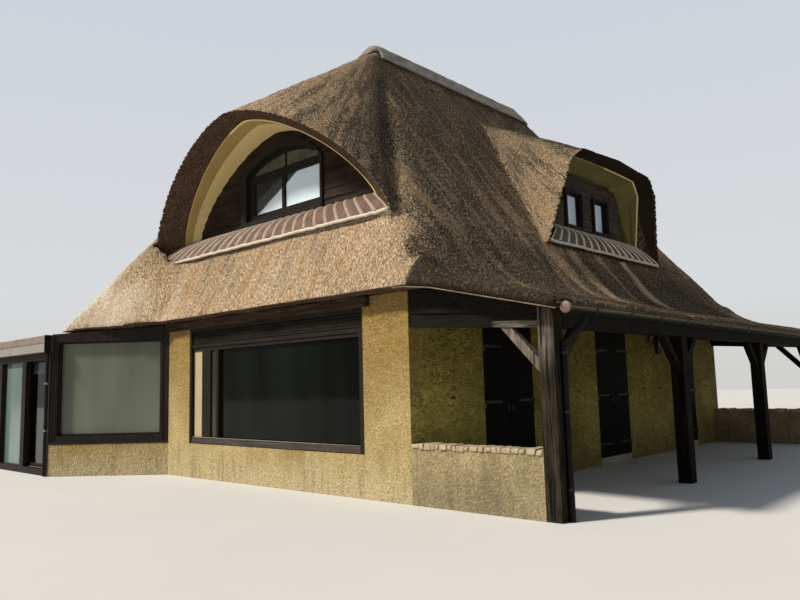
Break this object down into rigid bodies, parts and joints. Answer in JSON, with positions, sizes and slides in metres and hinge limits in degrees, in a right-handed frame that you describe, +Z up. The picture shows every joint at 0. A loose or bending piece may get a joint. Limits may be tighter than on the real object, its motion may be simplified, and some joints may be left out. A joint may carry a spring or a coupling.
{
  "type": "thatched cottage",
  "caption": "Thatched cottage with an arched front dormer, a side dormer, a timber gallery with hinged door leaves and a glazed flat-roofed annex.",
  "frame": {"origin": "under the middle of the masonry where the front wall meets the gallery wall, at the lowest ground", "axes": "+X to the right along the front wall, +Y back along the gallery wall, +Z up"},
  "size_m": [15.4243, 14.07, 9.16],
  "materials": {
    "thatch": "weathered reed, rough",
    "render": "ochre roughcast",
    "plaster": "cream smooth plaster",
    "mortar": "grey troweled mortar",
    "timber": "dark weathered",
    "frame": "dark stained",
    "door": "dark stained",
    "glass": "clear",
    "tile": "red clay",
    "floor": "plain screed",
    "gutter": "weathered grey green",
    "iron": "black",
    "fascia": "grey paint"
  },
  "bodies": {
    "house": {"annex_floor": "floor", "annex_frame": "frame", "annex_glass": "glass", "annex_roof": "fascia", "annex_wall": "render", "attic_floor": "floor", "cant_wall": "render", "cant_window_frame": "frame", "cant_window_glass": "glass", "downpipe": "gutter", "front_dormer_boards": "timber", "front_dormer_plaster": "plaster", "front_dormer_thatch": "thatch", "front_dormer_tiles": "tile", "front_dormer_window_frame": "frame", "front_dormer_window_glass": "glass", "front_end_beam": "timber", "front_parapet": "render", "front_wall": "render", "front_window_frame": "frame", "front_window_glass": "glass", "gallery_beam": "timber", "ground_floor": "floor", "gutter": "gutter", "lantern": "iron", "left_wall": "render", "post_1": "timber", "post_2": "timber", "post_3": "timber", "post_4": "timber", "rear_end_beam": "timber", "rear_parapet": "render", "rear_wall": "render", "rear_window_frame": "frame", "rear_window_glass": "glass", "ridge_cap": "mortar", "right_wall_1": "render", "right_wall_2": "render", "right_wall_3": "render", "right_wall_4": "render", "right_wall_head": "render", "shutter_box": "frame", "side_dormer_boards": "timber", "side_dormer_plaster": "plaster", "side_dormer_thatch": "thatch", "side_dormer_tiles": "tile", "side_dormer_window_frames": "frame", "side_dormer_window_glass": "glass", "thatch_front": "thatch", "thatch_gallery": "thatch", "thatch_left": "thatch", "thatch_rear": "thatch", "thatch_right": "thatch"},
    "door_1_left": {"door_1_left_leaf": "door"},
    "door_1_right": {"door_1_right_leaf": "door"},
    "door_2_left": {"door_2_left_leaf": "door"},
    "door_2_right": {"door_2_right_leaf": "door"},
    "door_3_left": {"door_3_left_leaf": "door"},
    "door_3_right": {"door_3_right_leaf": "door"},
    "annex_panel": {"annex_sliding_panel": "glass"}
  },
  "joints": [
    {"name": "door_1_left_hinge", "type": "hinge", "parent": "house", "child": "door_1_left", "pos_m": [0.162, 1.59, 1.3], "axis": [0, 0, -1], "range_deg": [0, 170]},
    {"name": "door_1_right_hinge", "type": "hinge", "parent": "house", "child": "door_1_right", "pos_m": [0.162, 3, 1.3], "axis": [0, 0, 1], "range_deg": [0, 170]},
    {"name": "door_2_left_hinge", "type": "hinge", "parent": "house", "child": "door_2_left", "pos_m": [0.162, 5.29, 1.3], "axis": [0, 0, -1], "range_deg": [0, 170]},
    {"name": "door_2_right_hinge", "type": "hinge", "parent": "house", "child": "door_2_right", "pos_m": [0.162, 6.62, 1.3], "axis": [0, 0, 1], "range_deg": [0, 170]},
    {"name": "door_3_left_hinge", "type": "hinge", "parent": "house", "child": "door_3_left", "pos_m": [0.162, 8.93, 1.3], "axis": [0, 0, -1], "range_deg": [0, 170]},
    {"name": "door_3_right_hinge", "type": "hinge", "parent": "house", "child": "door_3_right", "pos_m": [0.162, 10.24, 1.3], "axis": [0, 0, 1], "range_deg": [0, 170]},
    {"name": "annex_panel_slide", "type": "slide", "parent": "house", "child": "annex_panel", "axis": [-1, 0, 0], "range_m": [0, 1.2]}
  ]
}
